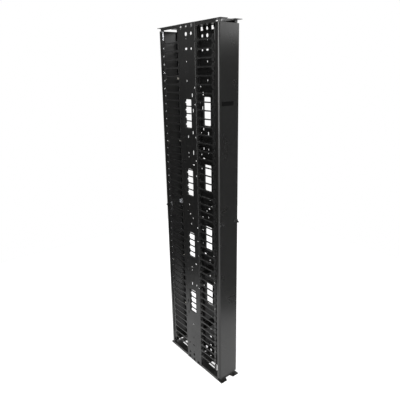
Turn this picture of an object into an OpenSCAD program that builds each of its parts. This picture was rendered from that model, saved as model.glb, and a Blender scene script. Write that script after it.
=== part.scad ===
// Vertical cable manager: a tall narrow frame that stands beside an open
// equipment rack and carries cables between the rack units.
// Two pressed steel side plates stand between a top and a bottom end plate.
// Plastic fingers, one for each rack unit, clip to the edges of the side plates,
// and a dual-hinged door closes the front and another the rear.
// The origin is the centre of the footprint on the floor, +Z is up, the front door
// faces -Y, and all sizes are millimetres.

/* [Overall size] */
// Height of the frame, 84 inches
frame_h = 2134; // [1900:1:2400]
// Width of the end plates and the doors
plate_w = 146; // [140:1:180]
// Depth over the tabs of the end plates, front to rear
frame_d = 556; // [540:1:640]
// Steel sheet of the end plates
end_sheet = 2.5; // [2:0.5:4]
// Steel sheet of the side plates and the braces
side_sheet = 2; // [1.5:0.5:3]

/* [End plates] */
// Height of the flange along each side of an end plate
end_flange_h = 17; // [16:1:24]
// Length of the door tabs at the corners
tab_len = 24; // [22:1:30]
// Width of the mouth between two tabs
notch_mouth_w = 52; // [40:1:60]
// Width of the inner end of the gap between two tabs
notch_inner_w = 34; // [20:1:40]
// Width of the cable slot in each half of an end plate
cable_slot_w = 36; // [20:1:60]
// Distance from the middle to the inner end of a cable slot
cable_slot_from = 82; // [80:1:100]
// Distance from the middle to the outer end of a cable slot
cable_slot_to = 214; // [180:1:218]

/* [Side plates] */
// Width of a side plate, 6 inches
side_w = 152.4; // [140:0.1:160]
// Depth of the folded edges of a side plate
side_flange = 16; // [12:1:24]
// Outside radius of the folds
fold_r = 3; // [2.5:0.5:4]
// Width of a cable window inside its trim
window_w = 67; // [50:1:70]
// Height of a cable window inside its trim
window_h = 165; // [120:1:180]
// Corner radius of a cable window
window_r = 8; // [5:1:15]
// Wall of the plastic window trim
trim_wall = 2.5; // [1.5:0.5:3]
// Depth of the window trim behind the outer face
trim_depth = 11; // [8:1:16]
// Rack units from one window to the next
window_units = 9; // [8:1:10]
// Number of windows up a side plate
windows = 4; // [2:1:4]
// Height of a cross brace
brace_h = 36; // [30:1:40]
// Depth of a cross brace, front to rear
brace_d = 30; // [24:1:40]

/* [Cable fingers] */
// One rack unit
rack_unit = 44.45; // [44:0.05:45]
// Number of fingers on each edge of a side plate
fingers = 45; // [10:1:46]
// Thickness of a finger
finger_t = 5; // [4:0.5:7]
// Gap between the finger tips and a closed door
finger_door_gap = 12; // [11:1:38]
// Height of a finger at its neck
neck_h = 6; // [5:0.5:10]
// Height of the finger where it leaves its clip
root_h = 12; // [10:1:20]
// Height of the T-shaped finger head
head_h = 38; // [30:1:42]
// Width of the finger head, root to tip
head_w = 15; // [12:1:20]
// Corner radius of the finger head
head_r = 4; // [2:0.5:6]
// Width of the tie slot in the finger head
tie_w = 5; // [3:0.5:6]
// Height of the tie slot in the finger head
tie_h = 8; // [6:0.5:12]
// Height of the clip that grips the folded edge
clip_h = 14; // [12:1:26]
// Thickness of the jaws of the clip
jaw = 3.6; // [2.5:0.1:4]

/* [Doors] */
// Depth of a door
door_d = 24; // [22:1:26]
// Steel sheet of a door
door_sheet = 1.5; // [1:0.25:2]
// Outside radius of the long edges of a door
door_r = 12; // [6:1:14]
// Width of the return lip along the back edges of a door
door_lip = 9; // [5:1:14]
// Gap between a door and the top plate
door_gap_top = 16; // [12:1:20]
// Gap between a door and the bottom plate
door_gap_bottom = 21.5; // [16:0.5:22]
// Distance of a door face behind the ends of the tabs
door_setback = 16; // [12:1:18]

/* [Latches] */
// Distance of each latch and pivot from the side of the door
latch_edge = 19; // [19:1:23]
// Radius of the latch rods and pivot pins
rod_r = 4; // [3:0.5:4]
// Module of the latch gear
gear_m = 1.25; // [1.25:0.01:1.3]
// Teeth on the latch pinion
gear_z = 12; // [12:2:12]
// Thickness of the pinion and its racks
gear_t = 6; // [4:0.5:7]
// Diameter of the round base of a knob
knob_d = 28; // [22:1:30]
// Height of a knob in front of the door
knob_h = 14; // [10:1:15]

/* [Fits] */
// Radial clearance of a pin or rod that runs in a bore
run_fit = 0.08; // [0.04:0.01:0.1]
// Gap between sliding or turning faces
slide_gap = 0.3; // [0.2:0.05:0.5]

/* [Hidden] */
$fn = 48;

steel_black = [0.13, 0.13, 0.13];
plastic_black = [0.07, 0.07, 0.075];
zinc = [0.72, 0.73, 0.74];
nylon = [0.85, 0.84, 0.8];

// Overhang of a cutter past the face that it cuts
past = 1;

// Places across the frame
inner_x = plate_w / 2;                  // inner face of a side plate
outer_x = inner_x + side_sheet;         // outer face of a side plate
mid_h = frame_h / 2;
door_face_y = -frame_d / 2 + door_setback;
finger_reach = -door_face_y - door_d - finger_door_gap;
latch_x = plate_w / 2 - latch_edge;
pivot_y = door_face_y + door_d / 2;
door_z0 = end_sheet + door_gap_bottom;
door_z1 = frame_h - end_sheet - door_gap_top;
notch_y = frame_d / 2 - tab_len;
flange_end = notch_y - tab_len / 2;     // half length of an end plate's side flange

// Screws
screw_r = 3;
screw_head_r = 5;
screw_len = 9;
screw_sink_fit = 0.2;                   // room round the head in its countersink
end_screw_y = [23, 66];
brace_screw_dy = 9;

// Holes for floor anchors, or for bolts to a cable trough on top
anchor_x = 45;
anchor_y = 30;
anchor_r = 5.5;

// Latch gear
gear_r = gear_m * gear_z / 2;
gear_pitch = PI * gear_m;
rod_travel = gear_pitch * gear_z / 2;   // half a turn of the knob
pressure = 20;
pinion_add = 0.88 * gear_m;
rack_add = 0.68 * gear_m;
gear_root = 1.12 * gear_m;
backlash = 0.12;
pin_setback = 1;                        // pin ends inside the outer faces
rack_bar = 4;                           // width of a rack behind its teeth
head_gap = gear_r + pinion_add + rod_travel + 2;   // pinion axis to crosshead
crosshead_h = 12;
spindle_back = gear_t / 2 + 4;
case_sheet = 1.5;
case_foot = 9;                          // foot that fixes the case to the door

// Hole pattern of a side plate: [y, height above the middle, width, height].
// The plate looks the same when it is turned end for end,
// so every entry is cut twice.
hole_b = 44.45;
hole_c = 67;
side_slots = [
    [0, 940, 20, 11], [0, 877, 7, 11], [0, 775, 6, 11], [0, 472, 8, 20],
    [0, 376, 6, 10], [0, 354, 6, 10], [0, 0, 12, 10],
    [-hole_b, 700, 8, 20], [-48, 618, 12, 22], [-hole_b, 496, 8, 18],
    [-hole_b, 383, 7, 28], [-hole_b, 314, 18, 11], [-hole_b, 176, 7, 24],
    [-hole_b, -146, 8, 14], [-hole_b, -322, 18, 13], [-hole_b, -467, 6, 14],
    [-hole_b, -560, 7, 10], [24, 20, 6, 9], [8, 60, 6, 10]
];
side_round = [
    [0, 1051, 9], [0, 1014, 10], [0, 991, 2.5], [-hole_b, 1014, 8], [-hole_b, 939, 6],
    [-hole_c, 471, 3.5], [-hole_c, -254, 3]
];
// Bolt holes in pairs, two rack units apart: [y, height of the pair's middle above the middle]
bolt_r = 4;
bolt_pairs = [[-hole_c, 695], [-hole_c, 293], [-hole_c, -115], [-hole_c, -522]];
square_hole = [-47, 1051, 20];
brace_heights = [-823, -415, 415, 823];

function window_z(i) = mid_h + (i - (windows - 1) / 2) * window_units * rack_unit;
function finger_z(i) = mid_h + (i - (fingers - 1) / 2) * rack_unit;

// ---------------------------------------------------------------- helpers

// Points of a rectangle with round corners, centred on the origin
function round_rect(w, h, r, steps = 4) = [
    for (c = [[1, 1, 0], [-1, 1, 90], [-1, -1, 180], [1, -1, 270]])
        for (s = [0 : steps])
            [c[0] * (w / 2 - r) + r * cos(c[2] + 90 * s / steps),
             c[1] * (h / 2 - r) + r * sin(c[2] + 90 * s / steps)]
];

// Extrudes a drawing whose axes are Y and Z along +X, from x0 over length t
module along_x(x0, t)
    translate([x0, 0, 0]) rotate([90, 0, 90]) linear_extrude(t) children();

module bar(x0, x1, y0, y1, z0, z1)
    translate([x0, y0, z0]) cube([x1 - x0, y1 - y0, z1 - z0]);

// Slot with round ends in a side plate's drawing: y, z, width, height
module slot_2d(y, z, w, h) {
    r = min(w, h) / 2;
    translate([y, z]) {
        if (w > h) {
            square([w - 2 * r, h], center = true);
            for (s = [-1, 1]) translate([s * (w / 2 - r), 0]) circle(r, $fn = 24);
        } else {
            square([w, h - 2 * r + 0.001], center = true);
            for (s = [-1, 1]) translate([0, s * (h / 2 - r)]) circle(r, $fn = 24);
        }
    }
}

// The same drawing twice, the second turned end for end about the plate's centre
module both_ends() {
    children();
    translate([0, frame_h]) rotate(180) children();
}

// Round and square holes near the ends, which also pierce the end plates' flanges
module end_holes_2d()
    both_ends() {
        translate([side_round[0][0], mid_h + side_round[0][1]]) circle(side_round[0][2]);
        for (s = [-1, 1]) translate([s * square_hole[0], mid_h + square_hole[1]])
            square(square_hole[2], center = true);
    }

// Countersunk screw along +X with its flat head at x = 0
module screw_x(len) rotate([0, 90, 0]) {
    cylinder(h = side_sheet, r1 = screw_head_r, r2 = screw_r);
    cylinder(h = len, r = screw_r);
}

// Hole for that screw: a roomy countersink through the side plate, and behind it
// the threaded hole that holds the shank
module screw_hole_x() rotate([0, 90, 0]) {
    cylinder(h = side_sheet, r1 = screw_head_r + screw_sink_fit, r2 = screw_r + screw_sink_fit);
    cylinder(h = screw_len + past, r = screw_r);
}

// Turns children about the vertical axis for the right side or the rear
module turned(yes) rotate([0, 0, yes ? 180 : 0]) children();

// ---------------------------------------------------------------- end plates

// Outline of an end plate: square corners, and a tapered notch at each end
module end_outline() polygon([
    for (s = [0, 180]) for (p = [
        [-inner_x, -frame_d / 2], [-notch_mouth_w / 2, -frame_d / 2],
        [-notch_inner_w / 2, -notch_y], [notch_inner_w / 2, -notch_y],
        [notch_mouth_w / 2, -frame_d / 2], [inner_x, -frame_d / 2]])
        [p[0] * cos(s), p[1] * cos(s)]
]);

// Flat sheet with its cable slots and the seats of the pivot bushes, underside at z = 0
module end_sheet_flat() linear_extrude(end_sheet) difference() {
    end_outline();
    for (s = [-1, 1]) {
        translate([0, s * (cable_slot_from + cable_slot_to) / 2])
            polygon(round_rect(cable_slot_w, cable_slot_to - cable_slot_from, 6));
        for (x = [-latch_x, latch_x]) translate([x, s * pivot_y]) circle(bush_r);
        for (x = [-1, 1]) translate([x * anchor_x, s * anchor_y]) circle(anchor_r);
    }
}

// Bottom end plate. The top one is the same piece upside down.
module end_plate() difference() {
    union() {
        end_sheet_flat();
        for (s = [-1, 1]) {
            x = s * (inner_x - end_sheet / 2);
            translate([x - end_sheet / 2, -flange_end, 0])
                cube([end_sheet, 2 * flange_end, end_flange_h]);
        }
    }
    for (t = [0, 1]) turned(t == 1) {
        along_x(-inner_x - past, end_sheet + 2 * past) end_holes_2d();
        for (y = end_screw_y) for (s = [-1, 1])
            translate([-outer_x, s * y, end_flange_h / 2 + 0.5]) screw_hole_x();
    }
}

module bottom_plate() color(steel_black) end_plate();
module top_plate() color(steel_black) translate([0, 0, frame_h]) rotate([0, 180, 0]) end_plate();

// Flanged bush that carries a pivot pin, with its collar reaching to the door
bush_r = rod_r + 1.6;
collar_r = rod_r + 3;
module pivot_bush(collar_h) difference() {
    union() {
        cylinder(h = end_sheet, r = bush_r);
        translate([0, 0, end_sheet]) cylinder(h = collar_h, r = collar_r);
    }
    translate([0, 0, -past]) cylinder(h = end_sheet + collar_h + 2 * past, r = rod_r + run_fit);
}
module bush_set(collar_h)
    for (x = [-latch_x, latch_x]) for (y = [-pivot_y, pivot_y])
        translate([x, y, 0]) pivot_bush(collar_h);
module pivot_bushes_bottom() color(zinc) bush_set(door_gap_bottom - slide_gap);
module pivot_bushes_top() color(zinc)
    translate([0, 0, frame_h]) rotate([0, 180, 0]) bush_set(door_gap_top - slide_gap);

// ---------------------------------------------------------------- side plates

// Cross-section of the left side plate: a shallow channel that opens inwards
module side_section() {
    ri = fold_r - side_sheet;
    difference() {
        union() {
            translate([-outer_x, -side_w / 2 + fold_r]) square([side_flange, side_w - 2 * fold_r]);
            translate([-outer_x + fold_r, -side_w / 2]) square([side_flange - fold_r, side_w]);
            for (s = [-1, 1]) translate([-outer_x + fold_r, s * (side_w / 2 - fold_r)]) circle(fold_r);
        }
        translate([-inner_x, -side_w / 2 + fold_r])
            square([side_flange + past, side_w - 2 * fold_r]);
        translate([-inner_x + ri, -side_w / 2 + side_sheet])
            square([side_flange + past, side_w - 2 * side_sheet]);
        for (s = [-1, 1])
            translate([-inner_x + ri, s * (side_w / 2 - fold_r)]) circle(ri, $fn = 24);
    }
}

module window_2d(grow) for (i = [0 : windows - 1]) translate([0, window_z(i)])
    polygon(round_rect(window_w + 2 * grow, window_h + 2 * grow, window_r + grow));

// Every cut in the web of a side plate, drawn in Y and Z
module side_cuts() {
    window_2d(trim_wall);
    end_holes_2d();
    for (i = [0 : fingers - 1]) for (s = [-1, 1])
        translate([0, finger_z(i)]) scale([s, 1]) polygon(ear_points);
    both_ends() {
        for (q = side_slots) slot_2d(q[0], mid_h + q[1], q[2], q[3]);
        for (i = [1 : len(side_round) - 1])
            translate([side_round[i][0], mid_h + side_round[i][1]]) circle(side_round[i][2], $fn = 32);
        for (q = bolt_pairs) for (s = [-1, 1])
            translate([q[0], mid_h + q[1] + s * rack_unit]) circle(bolt_r, $fn = 32);
    }
}

module side_plate() difference() {
    linear_extrude(frame_h) side_section();
    along_x(-outer_x - past, side_sheet + 2 * past) side_cuts();
    // Room for the flanges and the sheet of the end plates
    for (z = [-past, frame_h - end_flange_h])
        bar(-inner_x, -inner_x + side_flange, -side_w / 2 - past, side_w / 2 + past,
            z, z + end_flange_h + past);
    for (y = end_screw_y) for (s = [-1, 1]) for (z = [end_flange_h / 2 + 0.5, frame_h - end_flange_h / 2 - 0.5])
        translate([-outer_x, s * y, z]) screw_hole_x();
    for (h = brace_heights) for (s = [-1, 1])
        translate([-outer_x, s * brace_screw_dy, mid_h + h]) screw_hole_x();
}
module side_plate_left() color(steel_black) side_plate();
module side_plate_right() color(steel_black) turned(true) side_plate();

module end_screws() for (y = end_screw_y) for (s = [-1, 1])
    for (z = [end_flange_h / 2 + 0.5, frame_h - end_flange_h / 2 - 0.5])
        translate([-outer_x, s * y, z]) screw_x(screw_len);
module end_screws_left() color(zinc) end_screws();
module end_screws_right() color(zinc) turned(true) end_screws();

// Plastic liner round the windows of a side plate, with a lip behind the sheet
module window_trim() difference() {
    union() {
        along_x(-outer_x, trim_depth) window_2d(trim_wall);
        along_x(-inner_x, 2) window_2d(trim_wall + 3);
    }
    along_x(-outer_x - past, trim_depth + 2 * past) window_2d(0);
}
module window_trim_left() color(plastic_black) window_trim();
module window_trim_right() color(plastic_black) turned(true) window_trim();

// Cross brace: a channel between the side plates with a foot at each end
module cross_brace(i) color(steel_black) translate([0, 0, mid_h + brace_heights[i]]) difference() {
    union() {
        for (z = [-brace_h / 2, brace_h / 2 - side_sheet])
            bar(-inner_x, inner_x, -brace_d / 2, brace_d / 2, z, z + side_sheet);
        bar(-inner_x, inner_x, brace_d / 2 - side_sheet, brace_d / 2, -brace_h / 2, brace_h / 2);
        for (x = [-inner_x, inner_x - side_sheet])
            bar(x, x + side_sheet, -brace_d / 2, brace_d / 2, -brace_h / 2, brace_h / 2);
    }
    for (t = [0, 1]) turned(t == 1) for (s = [-1, 1])
        translate([-outer_x, s * brace_screw_dy, 0]) screw_hole_x();
}
module cross_brace_1() cross_brace(0);
module cross_brace_2() cross_brace(1);
module cross_brace_3() cross_brace(2);
module cross_brace_4() cross_brace(3);

module brace_screws() for (h = brace_heights) for (s = [-1, 1])
    translate([-outer_x, s * brace_screw_dy, mid_h + h]) screw_x(screw_len - 2);
module brace_screws_left() color(zinc) brace_screws();
module brace_screws_right() color(zinc) turned(true) brace_screws();

// ---------------------------------------------------------------- cable fingers

// One side of a finger's outline, root to tip, as points [y, z] above its centre line
clip_y0 = side_w / 2;
root_y = clip_y0 + jaw;
head_y = finger_reach - head_w;
neck_fillet = 7;
function finger_half() = concat(
    [[clip_y0, root_h / 2 + 2], [root_y + 4, root_h / 2 + 2], [root_y + 16, neck_h / 2 + 0.8],
     [head_y - neck_fillet, neck_h / 2]],
    // Hollow fillet between the neck and the head
    [for (a = [30 : 30 : 60])
        [head_y - neck_fillet + neck_fillet * sin(a), neck_h / 2 + neck_fillet * (1 - cos(a))]],
    [for (a = [180 : -45 : 90])
        [head_y + head_r + head_r * cos(a), head_h / 2 - head_r + head_r * sin(a)]],
    [for (a = [90 : -45 : 0])
        [finger_reach - head_r + head_r * cos(a), head_h / 2 - head_r + head_r * sin(a)]]
);
finger_top = finger_half();
finger_outline = concat(
    finger_top,
    [for (i = [len(finger_top) - 1 : -1 : 0]) [finger_top[i][0], -finger_top[i][1]]]
);

// Ear of the clip, which snaps into a notch in the corner of the side plate
ear_w = 11;
ear_points = [[clip_y0 - ear_w, 0], [clip_y0 - 2, ear_w / 2 + 1], [clip_y0, ear_w / 2 + 1],
              [clip_y0, -ear_w / 2 - 1], [clip_y0 - 2, -ear_w / 2 - 1]];

// Finger of the left side plate's rear edge, at height 0.
// Its clip wraps round the folded edge of the plate.
module finger() {
    edge_x = -outer_x + side_flange;
    along_x(-outer_x, side_sheet) polygon(ear_points);
    difference() {
        along_x(-inner_x, finger_t) polygon(finger_outline);
        along_x(-inner_x - past, finger_t + 2 * past)
            translate([finger_reach - head_w / 2, 0]) polygon(round_rect(tie_w, tie_h, 1.5, 1));
    }
    translate([0, 0, -clip_h / 2]) linear_extrude(clip_h) polygon([
        [-outer_x, clip_y0], [edge_x, clip_y0], [edge_x, clip_y0 - side_sheet],
        [edge_x - 8, clip_y0 - side_sheet], [edge_x - 8, clip_y0 - side_sheet - jaw + 1],
        [edge_x - 7, clip_y0 - side_sheet - jaw], [edge_x + jaw - 1, clip_y0 - side_sheet - jaw],
        [edge_x + jaw, clip_y0 - side_sheet - jaw + 1], [edge_x + jaw, root_y - 1],
        [edge_x + jaw - 1, root_y], [-outer_x + 1, root_y], [-outer_x, root_y - 1]
    ]);
}
module finger_row() for (i = [0 : fingers - 1]) translate([0, 0, finger_z(i)]) finger();
module fingers_rear_left() color(plastic_black) finger_row();
module fingers_front_left() color(plastic_black) mirror([0, 1, 0]) finger_row();
module fingers_rear_right() color(plastic_black) mirror([1, 0, 0]) finger_row();
module fingers_front_right() color(plastic_black) turned(true) finger_row();

// ---------------------------------------------------------------- doors

// Cross-section of the front door, inset from its outer surface by n
module door_solid_2d(n) {
    r = door_r - n;
    w = plate_w / 2 - n;
    y0 = door_face_y + n;
    y1 = door_face_y + door_d - n;
    translate([-w, y0 + r]) square([2 * w, y1 - y0 - r]);
    translate([-w + r, y0]) square([2 * (w - r), y1 - y0]);
    intersection() {
        for (s = [-1, 1]) translate([s * (w - r), y0 + r]) circle(r);
        translate([-w, y0]) square([2 * w, y1 - y0]);
    }
}
module door_section() difference() {
    door_solid_2d(0);
    door_solid_2d(door_sheet);
    translate([-plate_w / 2 + door_lip, door_face_y + door_d / 2])
        square([plate_w - 2 * door_lip, door_d]);
}

// Front door: a folded pan with closed ends, bored for the rods and the knob spindles
module door() difference() {
    union() {
        translate([0, 0, door_z0]) linear_extrude(door_z1 - door_z0) door_section();
        for (z = [door_z0, door_z1 - door_sheet])
            translate([0, 0, z]) linear_extrude(door_sheet) door_solid_2d(0);
    }
    for (x = [-latch_x, latch_x]) {
        translate([x, pivot_y, door_z0 - past])
            cylinder(h = door_z1 - door_z0 + 2 * past, r = rod_r + run_fit);
        translate([x, door_face_y - past, mid_h]) rotate([-90, 0, 0])
            cylinder(h = door_sheet + 2 * past, r = rod_r + run_fit);
    }
}
module front_door() color(steel_black) door();
module rear_door() color(steel_black) turned(true) door();

// Blank badge on the face of the front door
badge_x = [-52, 30];
badge_z = [mid_h + 649, mid_h + 671];
badge_t = 0.8;
module front_badge() color(plastic_black)
    translate([(badge_x[0] + badge_x[1]) / 2, door_face_y, (badge_z[0] + badge_z[1]) / 2])
        rotate([90, 0, 0]) linear_extrude(badge_t)
            polygon(round_rect(badge_x[1] - badge_x[0], badge_z[1] - badge_z[0], 2));

// Guide blocks on the inside of a door that keep the rods in line
guide_w = 2 * rod_r + 8;
guide_out = min(guide_w / 2, plate_w / 2 - door_r - latch_x);   // stays on the flat of the door
guide_h = 14;
guide_z = [260, 640];                   // distances from each end of the door
module rod_guides() for (t = [0, 1]) mirror([t, 0, 0]) translate([latch_x, 0, 0])
    for (d = guide_z) for (z = [door_z0 + d, door_z1 - d])
        difference() {
            bar(-guide_w / 2, guide_out, door_face_y + door_sheet, pivot_y + rod_r + 3,
                z - guide_h / 2, z + guide_h / 2);
            translate([0, pivot_y, z - guide_h]) cylinder(h = 2 * guide_h, r = rod_r + run_fit);
        }
module front_rod_guides() color(nylon) rod_guides();
module rear_rod_guides() color(nylon) turned(true) rod_guides();

// ---------------------------------------------------------------- latches

// Involute pinion outline
base_r = gear_r * cos(pressure);
tip_r = gear_r + pinion_add;
function inv(a) = tan(a) * 180 / PI - a;
half_tooth = 90 / gear_z - backlash / gear_r * 90 / PI;   // degrees at the pitch radius
function flank(r) = half_tooth + inv(pressure) - inv(acos(min(1, base_r / r)));
flank_steps = 4;
function tooth(a) = concat(
    [[gear_r - gear_root, a - flank(base_r)]],
    [for (i = [0 : flank_steps]) let (r = base_r + (tip_r - base_r) * i / flank_steps) [r, a - flank(r)]],
    [for (i = [flank_steps : -1 : 0]) let (r = base_r + (tip_r - base_r) * i / flank_steps) [r, a + flank(r)]],
    [[gear_r - gear_root, a + flank(base_r)]]
);
pinion_points = [
    for (k = [0 : gear_z - 1]) for (q = tooth(k * 360 / gear_z)) [q[0] * cos(q[1]), q[0] * sin(q[1])]
];

// Rack outline with its teeth facing -X and the pitch line at x = 0.
// A tooth gap is centred on every whole pitch from z = 0.
rack_teeth_up = 3;                       // teeth on the rod's side of the pinion axis
rack_half = gear_pitch / 4 - backlash / 2;
function rack_points(n0, n1) = concat(
    [for (n = [n0 : n1]) let (c = (n + 0.5) * gear_pitch)
        each [[gear_root, c - rack_half - gear_root * tan(pressure)],
              [-rack_add, c - rack_half + rack_add * tan(pressure)],
              [-rack_add, c + rack_half - rack_add * tan(pressure)],
              [gear_root, c + rack_half + gear_root * tan(pressure)]]],
    [[gear_root + rack_bar, (n1 + 1) * gear_pitch], [gear_root + rack_bar, n0 * gear_pitch]]
);

// Upper rod with its pin thrown: rod, crosshead and the rack on the +X side of the pinion.
// The pinion axis is at the origin and the pin ends at height `top`.
rack_far = 3;                            // teeth past the axis when the rod is thrown
module rod_with_rack(top) {
    rack_n1 = floor(head_gap / gear_pitch);
    rack_x = gear_r + gear_root + rack_bar;
    translate([0, 0, head_gap + crosshead_h - past]) cylinder(h = top - head_gap - crosshead_h + past, r = rod_r);
    bar(-rod_r, rack_x, -gear_t / 2, gear_t / 2, head_gap, head_gap + crosshead_h);
    bar(gear_r + gear_root, rack_x, -gear_t / 2, gear_t / 2, 0, head_gap + crosshead_h);
    translate([gear_r, gear_t / 2, 0]) rotate([90, 0, 0])
        linear_extrude(gear_t) polygon(rack_points(-rack_far, rack_n1 - 1));
}

// Puts a latch piece at its place on the front door: side -1 is left and 1 is right
module at_latch(side) translate([side * latch_x, pivot_y, mid_h]) children();

top_reach = frame_h - pin_setback - mid_h;
bottom_reach = mid_h - pin_setback;
module upper_rod(side, drawn) at_latch(side)
    translate([0, 0, -drawn * rod_travel]) rod_with_rack(top_reach);
// The lower rod is the upper one turned half a turn about the spindle
module lower_rod(side, drawn) at_latch(side)
    translate([0, 0, drawn * rod_travel]) rotate([0, 180, 0]) rod_with_rack(bottom_reach);

module pinion(side) at_latch(side) difference() {
    translate([0, gear_t / 2, 0]) rotate([90, 0, 0]) linear_extrude(gear_t) polygon(pinion_points);
    translate([0, gear_t, 0]) rotate([90, 0, 0]) cylinder(h = 2 * gear_t, r = rod_r);
}

// Thumb-turn with its spindle: a round base and a grip with round ends
grip_w = 9;
base_h = 4;
grip_turn = 45;                          // the grip rests slanting to the left
module knob(side) at_latch(side) {
    face = -door_d / 2;
    translate([0, face - slide_gap, 0]) rotate([90, 0, 0]) {
        cylinder(h = base_h, r1 = knob_d / 2, r2 = knob_d / 2 - 1.5);
        translate([0, 0, base_h - 0.01]) linear_extrude(knob_h - base_h - slide_gap) {
            rotate(grip_turn) {
                square([grip_w, knob_d - grip_w], center = true);
                for (s = [-1, 1]) translate([0, s * (knob_d - grip_w) / 2]) circle(grip_w / 2);
            }
        }
    }
    translate([0, spindle_back, 0]) rotate([90, 0, 0])
        cylinder(h = spindle_back - face + slide_gap + 0.01, r = rod_r);
}

// Folded case over the pinion and racks, open above and below for the rods
case_half = gear_r + gear_root + rack_bar + slide_gap;
case_h = 2 * (gear_r + pinion_add + 6);
module latch_case(side) at_latch(side) mirror([side < 0 ? 1 : 0, 0, 0]) difference() {
    union() {
        // The inner leg stands on the door and the outer one stops short of its round edge
        bar(-case_half - case_sheet, -case_half, -door_d / 2 + door_sheet,
            gear_t / 2 + slide_gap + case_sheet, -case_h / 2, case_h / 2);
        bar(case_half, case_half + case_sheet, -door_d / 2 + door_r / 2,
            gear_t / 2 + slide_gap + case_sheet, -case_h / 2, case_h / 2);
        bar(-case_half - case_foot, -case_half, -door_d / 2 + door_sheet,
            -door_d / 2 + door_sheet + case_sheet, -case_h / 2, case_h / 2);
        bar(-case_half - case_sheet, case_half + case_sheet,
            gear_t / 2 + slide_gap, gear_t / 2 + slide_gap + case_sheet, -case_h / 2, case_h / 2);
    }
    translate([0, door_d, 0]) rotate([90, 0, 0]) cylinder(h = door_d, r = rod_r + run_fit);
}

// The front door hangs on its right-hand pins; the left-hand ones are drawn
module front_latch_case_hinge() color(zinc) latch_case(1);
module front_latch_case_free() color(zinc) latch_case(-1);
module front_knob_hinge() color(plastic_black) knob(1);
module front_knob_free() color(plastic_black) knob(-1);
module front_pinion_hinge() color(zinc) pinion(1);
module front_pinion_free() color(zinc) pinion(-1);
module front_upper_rod_hinge() color(zinc) upper_rod(1, 0);
module front_lower_rod_hinge() color(zinc) lower_rod(1, 0);
module front_upper_rod_free() color(zinc) upper_rod(-1, 1);
module front_lower_rod_free() color(zinc) lower_rod(-1, 1);

// The rear door is the front one turned about the vertical axis
module rear_latch_case_hinge() turned(true) front_latch_case_hinge();
module rear_latch_case_free() turned(true) front_latch_case_free();
module rear_knob_hinge() turned(true) front_knob_hinge();
module rear_knob_free() turned(true) front_knob_free();
module rear_pinion_hinge() turned(true) front_pinion_hinge();
module rear_pinion_free() turned(true) front_pinion_free();
module rear_upper_rod_hinge() turned(true) front_upper_rod_hinge();
module rear_lower_rod_hinge() turned(true) front_lower_rod_hinge();
module rear_upper_rod_free() turned(true) front_upper_rod_free();
module rear_lower_rod_free() turned(true) front_lower_rod_free();

// ---------------------------------------------------------------- nodes

top_plate();
bottom_plate();
side_plate_left();
side_plate_right();
cross_brace_1();
cross_brace_2();
cross_brace_3();
cross_brace_4();
brace_screws_left();
brace_screws_right();
end_screws_left();
end_screws_right();
window_trim_left();
window_trim_right();
fingers_front_left();
fingers_front_right();
fingers_rear_left();
fingers_rear_right();
pivot_bushes_top();
pivot_bushes_bottom();
front_door();
front_badge();
front_rod_guides();
front_latch_case_hinge();
front_latch_case_free();
front_knob_hinge();
front_pinion_hinge();
front_upper_rod_hinge();
front_lower_rod_hinge();
front_knob_free();
front_pinion_free();
front_upper_rod_free();
front_lower_rod_free();
rear_door();
rear_rod_guides();
rear_latch_case_hinge();
rear_latch_case_free();
rear_knob_hinge();
rear_pinion_hinge();
rear_upper_rod_hinge();
rear_lower_rod_hinge();
rear_knob_free();
rear_pinion_free();
rear_upper_rod_free();
rear_lower_rod_free();
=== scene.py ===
# %% [markdown]
# A tall black cable manager: two pressed side plates between two end plates,
# rows of plastic fingers along the four edges and a latching door at the front and rear.
# The solids are loaded ready made, so this lesson is about the finish: satin powder
# coat, moulded plastic, zinc plate, and a studio that shows them.
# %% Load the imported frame
import math

import bmesh
import bpy
from mathutils import Matrix, Vector

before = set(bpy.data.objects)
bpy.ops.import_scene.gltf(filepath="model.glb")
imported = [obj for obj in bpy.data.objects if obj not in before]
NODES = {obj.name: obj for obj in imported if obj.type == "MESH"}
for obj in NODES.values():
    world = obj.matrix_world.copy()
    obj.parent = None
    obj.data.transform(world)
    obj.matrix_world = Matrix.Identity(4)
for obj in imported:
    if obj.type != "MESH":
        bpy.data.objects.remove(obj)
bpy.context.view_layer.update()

# %% [markdown]
# The camera comes first, because every later choice is judged through it. It stands
# at head height to the left of the front door, a little more than two metres away,
# and looks slightly down. Its aim is built from three plain angles, which is easier
# to read and to change than a matrix or a tracking constraint.
# %% Camera
scene = bpy.context.scene
CAMERA_PLACE = Vector((-1.4419, -1.8396, 1.8691))
TURN, TILT, ROLL = math.radians(38.088), math.radians(-17.298), math.radians(-1.125)
LENS_MM, SENSOR_MM = 35.98, 36.0
FAR_CLIP = 50


def aim_camera(place, turn, tilt, roll, lens):
    """Makes a camera that looks `turn` right of +Y and `tilt` up; all angles in radians."""
    ahead = Vector((math.sin(turn) * math.cos(tilt),
                    math.cos(turn) * math.cos(tilt),
                    math.sin(tilt)))
    right = ahead.cross(Vector((0, 0, 1))).normalized()
    up = right.cross(ahead)
    rolled_right = math.cos(roll) * right + math.sin(roll) * up
    rolled_up = rolled_right.cross(ahead)
    data = bpy.data.cameras.new("camera")
    data.lens, data.sensor_width = lens, SENSOR_MM
    data.clip_end = FAR_CLIP
    camera = bpy.data.objects.new("camera", data)
    camera.matrix_world = Matrix.Translation(place) @ Matrix(
        (rolled_right, rolled_up, -ahead)).transposed().to_4x4()
    scene.collection.objects.link(camera)
    return camera


scene.camera = aim_camera(CAMERA_PLACE, TURN, TILT, ROLL, LENS_MM)
scene.view_settings.view_transform = "Standard"
print("camera stands", round(CAMERA_PLACE.xy.length, 2), "m from the middle of the frame")

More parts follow.
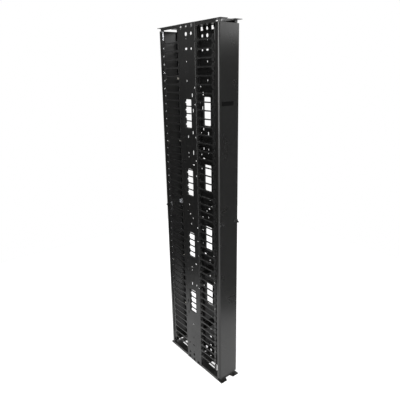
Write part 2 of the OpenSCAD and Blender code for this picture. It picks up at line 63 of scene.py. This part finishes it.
# %% [markdown]
# Black paint shows mostly what it mirrors, so the studio matters more than the lamps.
# The sweep is white to the camera and also to mirrored and refracted rays, so metal
# shows the same background that stands behind it. Only the diffuse light of the air is
# graded, dim at the horizon and paler overhead. A Light Path node sorts the rays, and
# the sum of three of its outputs, clamped to 1, says whether a ray should see white.
# %% World
WHITE = (1, 1, 1, 1)
BELOW_STOP, HORIZON_STOP, OVERHEAD_STOP = 0.30, 0.52, 1.0


def set_inputs(node, values):
    """Gives a node's inputs their plain values by name."""
    for label, value in values.items():
        node.inputs[label].default_value = value


def new_math(nodes, operation):
    node = nodes.new("ShaderNodeMath")
    node.operation = operation
    return node


def new_span(nodes, low, high):
    """Makes a node that stretches the range from low to high over 0 to 1."""
    span = nodes.new("ShaderNodeMapRange")
    set_inputs(span, {"From Min": low, "From Max": high})
    return span


def sees_white(nodes, links):
    """Puts out 1 on camera, glossy and transmission rays, and 0 on the others."""
    path = nodes.new("ShaderNodeLightPath")
    total = path.outputs["Is Camera Ray"]
    for kind in ("Is Glossy Ray", "Is Transmission Ray"):
        add = new_math(nodes, "ADD")
        add.use_clamp = True
        links.new(total, add.inputs[0])
        links.new(path.outputs[kind], add.inputs[1])
        total = add.outputs[0]
    return total


def new_world(horizon, overhead, below):
    """White to the eye and to mirrors, and a soft vertical gradient to diffuse rays."""
    world = bpy.data.worlds.new("studio_air")
    world.use_nodes = True
    nodes, links = world.node_tree.nodes, world.node_tree.links
    nodes.clear()
    out = nodes.new("ShaderNodeOutputWorld")
    mix = nodes.new("ShaderNodeMixShader")
    seen = nodes.new("ShaderNodeBackground")
    set_inputs(seen, {"Color": WHITE, "Strength": 1.0})
    air = nodes.new("ShaderNodeBackground")
    place = nodes.new("ShaderNodeTexCoord")
    split = nodes.new("ShaderNodeSeparateXYZ")
    lift = new_span(nodes, -1, 1)
    ramp = nodes.new("ShaderNodeValToRGB")
    stops = ramp.color_ramp.elements
    ramp.color_ramp.interpolation = "EASE"
    stops[0].position, stops[0].color = BELOW_STOP, (below, below, below, 1)
    stops[1].position, stops[1].color = OVERHEAD_STOP, (overhead, overhead, overhead, 1)
    stops.new(HORIZON_STOP).color = (horizon, horizon, horizon, 1)
    links.new(place.outputs["Generated"], split.inputs[0])
    links.new(split.outputs["Z"], lift.inputs["Value"])
    links.new(lift.outputs["Result"], ramp.inputs["Fac"])
    links.new(ramp.outputs["Color"], air.inputs["Color"])
    links.new(sees_white(nodes, links), mix.inputs["Fac"])
    links.new(air.outputs[0], mix.inputs[1])
    links.new(seen.outputs[0], mix.inputs[2])
    links.new(mix.outputs[0], out.inputs["Surface"])
    scene.world = world


new_world(horizon=0.32, overhead=0.85, below=0.30)
print("world:", scene.world.name)

# %% [markdown]
# The floor is a real surface, so the frame keeps its contact shadow and the low parts
# of the black doors mirror a bright floor. A little emission on the same three kinds of
# ray lifts it to the white of the air behind, so no horizon line shows.
# %% Floor
FLOOR_SIZE, FLOOR_CELLS = 5.0, 8
FLOOR_GLOW = 0.45


def new_card(name, width, cells=1):
    """Makes a flat square mesh and links it into the scene."""
    bm = bmesh.new()
    bmesh.ops.create_grid(bm, x_segments=cells, y_segments=cells, size=width / 2)
    mesh = bpy.data.meshes.new(name)
    bm.to_mesh(mesh)
    bm.free()
    card = bpy.data.objects.new(name, mesh)
    scene.collection.objects.link(card)
    return card


def new_material(name, values):
    """Makes a material, gives its Principled shader plain values, and returns both."""
    mat = bpy.data.materials.new(name)
    mat.use_nodes = True
    bsdf = mat.node_tree.nodes["Principled BSDF"]
    set_inputs(bsdf, values)
    return mat, bsdf


def new_floor(size, cells, glow):
    floor = new_card("floor", size, cells)
    mat, bsdf = new_material("floor_white", {
        "Base Color": (0.9, 0.9, 0.9, 1), "Roughness": 0.9,
        "Specular IOR Level": 0.1, "Emission Color": WHITE})
    nodes, links = mat.node_tree.nodes, mat.node_tree.links
    lift = new_math(nodes, "MULTIPLY")
    lift.inputs[1].default_value = glow
    links.new(sees_white(nodes, links), lift.inputs[0])
    links.new(lift.outputs[0], bsdf.inputs["Emission Strength"])
    floor.data.materials.append(mat)


new_floor(FLOOR_SIZE, FLOOR_CELLS, FLOOR_GLOW)
print("floor:", FLOOR_SIZE, "m square")

# %% [markdown]
# A white room would turn the satin paint grey all over. A photographer stands dark
# flags just outside the picture, so that the flat faces mirror them: one for the side
# plate, and a lower, paler one for the door, whose top then stays bright. Both stop just
# above the floor. They cast no shadow and are hidden from the camera and from diffuse
# light, so they shape reflections and nothing else.
# %% Flags
FLAG_TURN = 38


def new_flag(name, middle, size, turn, shade):
    """Stands a card of (width, height) upright, turned `turn` degrees about the vertical."""
    flag = new_card(name, 1.0)
    flag.scale = (size[0], size[1], 1)
    flag.location = middle
    flag.rotation_euler = (math.radians(90), 0, math.radians(turn))
    mat, _ = new_material(name + "_cloth", {
        "Base Color": (shade, shade, shade, 1), "Roughness": 1.0, "Specular IOR Level": 0.0})
    flag.data.materials.append(mat)
    for kind in ("camera", "shadow", "diffuse", "transmission"):
        setattr(flag, "visible_" + kind, False)


new_flag("side_flag", (-0.62, 0.70, 1.66), (2.8, 3.26), FLAG_TURN, shade=0.07)
new_flag("door_flag", (0.42, -0.80, 1.07), (1.6, 2.08), FLAG_TURN, shade=0.42)

# %% [markdown]
# The key is a tall soft box behind the camera. The rounded edge of the door is the only
# part that turns to face it, so it draws a bright line down the upper half of that edge and
# leaves the flat faces dark. A fill on the right keeps the far fingers readable, and a
# weak lamp behind lights the tops and the rear. Area lights suit this, because their size
# sets how soft the edge of each highlight is.
# %% Soft boxes
def soft_box(name, place, target, size, watts):
    """Hangs a rectangular lamp of (width, height) that is aimed at a point."""
    light = bpy.data.lights.new(name, "AREA")
    light.shape = "RECTANGLE"
    light.size, light.size_y = size
    light.energy = watts
    lamp = bpy.data.objects.new(name, light)
    lamp.location = place
    lamp.rotation_euler = (Vector(target) - Vector(place)).to_track_quat("-Z", "Y").to_euler()
    scene.collection.objects.link(lamp)


soft_box("key", (-2.35, -3.0, 2.1), target=(0, 0, 1.7), size=(1.5, 2.3), watts=118)
soft_box("fill", (2.6, -2.2, 2.6), target=(0, 0, 1.2), size=(1.6, 1.6), watts=22)
soft_box("back", (-1.4, 3.0, 3.0), target=(0, 0, 1.2), size=(1.6, 1.2), watts=20)

# %% [markdown]
# Every finish here shares three effects, so each is one node group. Grain is the tiny
# orange-peel texture of powder coat or spark-eroded moulds. It is a noise read in
# object space, because the solids have no UVs, and object space is in real metres.
# %% Grain group
FLOAT, COLOR = "NodeSocketFloat", "NodeSocketColor"
BROAD_PER_M = 9


def new_group(name, inputs, outputs):
    """Makes a shader node group with named sockets and returns it with its two ends."""
    group = bpy.data.node_groups.new(name, "ShaderNodeTree")
    for label, kind, value in inputs:
        socket = group.interface.new_socket(name=label, in_out="INPUT", socket_type=kind)
        socket.default_value = value
    for label, kind in outputs:
        group.interface.new_socket(name=label, in_out="OUTPUT", socket_type=kind)
    return group, group.nodes.new("NodeGroupInput"), group.nodes.new("NodeGroupOutput")


def new_noise(nodes, links, per_m, detail):
    """Makes a noise in object space that varies about `per_m` times in a metre."""
    place = nodes.new("ShaderNodeTexCoord")
    noise = nodes.new("ShaderNodeTexNoise")
    set_inputs(noise, {"Scale": per_m, "Detail": detail})
    links.new(place.outputs["Object"], noise.inputs["Vector"])
    return noise


def new_grain_group():
    """Fine grain: puts out a height, and a roughness that wanders between two values."""
    group, start, end = new_group(
        "surface_grain",
        [("Grain per m", FLOAT, 900.0), ("Rough low", FLOAT, 0.35), ("Rough high", FLOAT, 0.45)],
        [("Height", FLOAT), ("Roughness", FLOAT)])
    nodes, links = group.nodes, group.links
    fine = new_noise(nodes, links, per_m=900, detail=3)
    broad = new_noise(nodes, links, BROAD_PER_M, detail=4)
    span = new_span(nodes, 0.3, 0.7)
    links.new(start.outputs["Grain per m"], fine.inputs["Scale"])
    links.new(broad.outputs["Fac"], span.inputs["Value"])
    links.new(start.outputs["Rough low"], span.inputs["To Min"])
    links.new(start.outputs["Rough high"], span.inputs["To Max"])
    links.new(fine.outputs["Fac"], end.inputs["Height"])
    links.new(span.outputs["Result"], end.inputs["Roughness"])
    return group


GRAIN = new_grain_group()
print("group:", GRAIN.name)

# %% [markdown]
# Handling rubs the coat thin along sheet edges. The Bevel node gives the normal that a
# rounded edge would have, and where it leaves the true normal there is an edge. Noise
# breaks the line up, since wear is never even.
# %% Edge wear group
WEAR_RADIUS, WEAR_SAMPLES, WEAR_PER_M = 0.0012, 4, 60


def blend_by_masks(group, start, end, first, second):
    """Mixes the base colour toward another by two masks times the group's amount."""
    nodes, links = group.nodes, group.links
    both = new_math(nodes, "MULTIPLY")
    scaled = new_math(nodes, "MULTIPLY")
    mix = nodes.new("ShaderNodeMix")
    mix.data_type = "RGBA"
    links.new(first, both.inputs[0])
    links.new(second, both.inputs[1])
    links.new(both.outputs[0], scaled.inputs[0])
    links.new(start.outputs["Amount"], scaled.inputs[1])
    links.new(scaled.outputs[0], mix.inputs["Factor"])
    links.new(start.outputs["Base"], mix.inputs["A"])
    links.new(mix.outputs["Result"], end.inputs["Color"])
    return mix


def new_edge_group():
    """Edge wear: blends a worn colour over the base near edges."""
    group, start, end = new_group(
        "edge_wear",
        [("Base", COLOR, (0.02, 0.02, 0.02, 1)), ("Worn", COLOR, (0.2, 0.2, 0.2, 1)),
         ("Amount", FLOAT, 0.5)],
        [("Color", COLOR)])
    nodes, links = group.nodes, group.links
    bevel = nodes.new("ShaderNodeBevel")
    bevel.samples = WEAR_SAMPLES
    bevel.inputs["Radius"].default_value = WEAR_RADIUS
    flat = nodes.new("ShaderNodeNewGeometry")
    dot = nodes.new("ShaderNodeVectorMath")
    dot.operation = "DOT_PRODUCT"
    edge = new_span(nodes, 0.98, 0.75)
    noise = new_noise(nodes, links, WEAR_PER_M, detail=4)
    patch = new_span(nodes, 0.42, 0.62)
    links.new(bevel.outputs["Normal"], dot.inputs[0])
    links.new(flat.outputs["Normal"], dot.inputs[1])
    links.new(dot.outputs["Value"], edge.inputs["Value"])
    links.new(noise.outputs["Fac"], patch.inputs["Value"])
    mix = blend_by_masks(group, start, end, edge.outputs["Result"], patch.outputs["Result"])
    links.new(start.outputs["Worn"], mix.inputs["B"])
    return group


WEAR = new_edge_group()
print("group:", WEAR.name)

# %% [markdown]
# Dust settles where a surface looks up. The mask is the upward part of the normal times
# a slow noise, so it stays a hint of grey.
# %% Dust group
DUST_COLOR = (0.32, 0.30, 0.27, 1)
DUST_PER_M = 14


def new_dust_group():
    """Dust: greys the colour on upward faces by an amount."""
    group, start, end = new_group(
        "dust",
        [("Base", COLOR, (0.02, 0.02, 0.02, 1)), ("Amount", FLOAT, 0.1)],
        [("Color", COLOR)])
    nodes, links = group.nodes, group.links
    flat = nodes.new("ShaderNodeNewGeometry")
    split = nodes.new("ShaderNodeSeparateXYZ")
    up = new_span(nodes, 0.5, 1.0)
    noise = new_noise(nodes, links, DUST_PER_M, detail=6)
    links.new(flat.outputs["Normal"], split.inputs[0])
    links.new(split.outputs["Z"], up.inputs["Value"])
    mix = blend_by_masks(group, start, end, up.outputs["Result"], noise.outputs["Fac"])
    set_inputs(mix, {"B": DUST_COLOR})
    return group


DUST = new_dust_group()
print("group:", DUST.name)

# %% [markdown]
# The painted, plated and moulded finishes are the same chain with their own numbers: a
# base colour that drifts slightly, edge wear over it, dust over that, and grain that
# feeds both roughness and a Bump node. One function builds the chain, and the Principled
# shader stays in each material, where its plain values can be read.
# %% Finishes
DRIFT_PER_M = 3.5
DRIFT_DARK, DRIFT_PALE = 0.85, 1.18


def grey(shade):
    return (shade, shade, shade)


def use_group(nodes, group, values):
    """Places a shared group in a material and sets its plain inputs."""
    node = nodes.new("ShaderNodeGroup")
    node.node_tree = group
    set_inputs(node, values)
    return node


def finish(name, base, worn, wear, dust, grain, rough, bump_mm, metallic=0.0, specular=0.5):
    """Builds a procedural finish from the three shared groups."""
    mat, bsdf = new_material(name, {"Metallic": metallic, "Specular IOR Level": specular})
    nodes, links = mat.node_tree.nodes, mat.node_tree.links
    drift = new_noise(nodes, links, DRIFT_PER_M, detail=5)
    tint = nodes.new("ShaderNodeMix")
    tint.data_type = "RGBA"
    set_inputs(tint, {"A": (*[c * DRIFT_DARK for c in base], 1),
                      "B": (*[min(1, c * DRIFT_PALE) for c in base], 1)})
    edge = use_group(nodes, WEAR, {"Worn": (*worn, 1), "Amount": wear})
    soil = use_group(nodes, DUST, {"Amount": dust})
    texture = use_group(nodes, GRAIN, {
        "Grain per m": grain, "Rough low": rough[0], "Rough high": rough[1]})
    bump = nodes.new("ShaderNodeBump")
    set_inputs(bump, {"Strength": 1.0, "Distance": bump_mm / 1000})
    links.new(drift.outputs["Fac"], tint.inputs["Factor"])
    links.new(tint.outputs["Result"], edge.inputs["Base"])
    links.new(edge.outputs["Color"], soil.inputs["Base"])
    links.new(soil.outputs["Color"], bsdf.inputs["Base Color"])
    links.new(texture.outputs["Roughness"], bsdf.inputs["Roughness"])
    links.new(texture.outputs["Height"], bump.inputs["Height"])
    links.new(bump.outputs["Normal"], bsdf.inputs["Normal"])
    return mat


POWDER = finish("powder_coat_frame", base=(0.006, 0.006, 0.0058), worn=grey(0.04),
                wear=0.35, dust=0.03, grain=700, rough=(0.36, 0.46), bump_mm=0.05)
DOOR_PAINT = finish("powder_coat_door", base=(0.007, 0.007, 0.0067), worn=grey(0.05),
                    wear=0.3, dust=0.03, grain=700, rough=(0.27, 0.30), bump_mm=0.015)
FINGER_NYLON = finish("finger_nylon", base=grey(0.007), worn=grey(0.03),
                      wear=0.2, dust=0.03, grain=1500, rough=(0.38, 0.50), bump_mm=0.03)
TRIM_PLASTIC = finish("trim_plastic", base=grey(0.009), worn=grey(0.04),
                      wear=0.2, dust=0.03, grain=1200, rough=(0.35, 0.45), bump_mm=0.03)
KNOB_PLASTIC = finish("knob_plastic", base=grey(0.020), worn=grey(0.06),
                      wear=0.2, dust=0.02, grain=1500, rough=(0.12, 0.2), bump_mm=0.01)
GUIDE_NYLON = finish("guide_nylon", base=(0.62, 0.60, 0.54), worn=(0.7, 0.68, 0.62),
                     wear=0.1, dust=0.05, grain=1200, rough=(0.4, 0.5), bump_mm=0.02)
BADGE_FACE = finish("badge_face", base=grey(0.003), worn=grey(0.03), wear=0.3, dust=0.01,
                    grain=1500, rough=(0.30, 0.36), bump_mm=0.005, specular=0.15)
# Painted shade: the screws are zinc plated, but take a dark grey so that they stay dark instead
# of mirroring the white room.
ZINC_SCREW_PAINTED_SHADE = finish("black_oxide", base=grey(0.012), worn=grey(0.05),
                     wear=0.3, dust=0.03, grain=900, rough=(0.40, 0.52), bump_mm=0.02)
# Painted shade: the bushes are zinc plated, but take a dark grey so that they stay dark instead
# of mirroring the white room.
ZINC_BUSH_PAINTED_SHADE = finish("bush_acetal", base=grey(0.030), worn=grey(0.08),
                     wear=0.2, dust=0.05, grain=1200, rough=(0.38, 0.48), bump_mm=0.02)
ZINC = finish("zinc_plate", base=(0.60, 0.61, 0.63), worn=grey(0.75), wear=0.3, dust=0.03,
              grain=400, rough=(0.22, 0.36), bump_mm=0.02, metallic=1.0)
print("finishes:", len([m for m in bpy.data.materials if m.use_nodes]))

# %% [markdown]
# Each imported solid takes the finish of its real material, except the zinc screws and bushes,
# whose dark grey is painted shade. The names of the nodes say what they are, so a short table of
# words is enough to dress them all.
# %% Dress the solids
FINISH_BY_WORD = [
    ("screws", ZINC_SCREW_PAINTED_SHADE), ("bushes", ZINC_BUSH_PAINTED_SHADE), ("rod_guides", GUIDE_NYLON), ("rod", ZINC),
    ("pinion", ZINC), ("latch_case", ZINC), ("knob", KNOB_PLASTIC), ("badge", BADGE_FACE),
    ("fingers", FINGER_NYLON), ("window_trim", TRIM_PLASTIC), ("door", DOOR_PAINT),
    ("plate", POWDER), ("brace", POWDER),
]


def dress(name, obj):
    """Gives a node the finish of the first word that its name holds."""
    mat = next(m for word, m in FINISH_BY_WORD if word in name)
    obj.data.materials.clear()
    obj.data.materials.append(mat)
    return mat.name


dressed = {name: dress(name, obj) for name, obj in NODES.items()}
for mat_name in sorted(set(dressed.values())):
    print(mat_name, sum(v == mat_name for v in dressed.values()))

# %% [markdown]
# Real edges are never knife sharp, and it is the small round that catches a light. A
# Bevel modifier limited by angle adds it without changing the mesh underneath.
# %% Soften edges
BEVEL_BY_WORD = [
    ("knob", 0.0012, 3), ("fingers", 0.0006, 2), ("door", 0.0004, 2), ("plate", 0.0003, 2),
    ("window_trim", 0.0005, 2), ("badge", 0.0003, 2), ("bushes", 0.0004, 2),
]
SHARPER_THAN = math.radians(40)


def soften(name, obj):
    """Rounds a node's edges by the first word that its name holds, if any."""
    for word, width, steps in BEVEL_BY_WORD:
        if word in name:
            bevel = obj.modifiers.new("soft_edges", "BEVEL")
            bevel.width, bevel.segments = width, steps
            bevel.limit_method = "ANGLE"
            bevel.angle_limit = SHARPER_THAN
            bevel.harden_normals = False
            break


for name, obj in NODES.items():
    soften(name, obj)
print("softened:", sum(bool(o.modifiers) for o in NODES.values()))
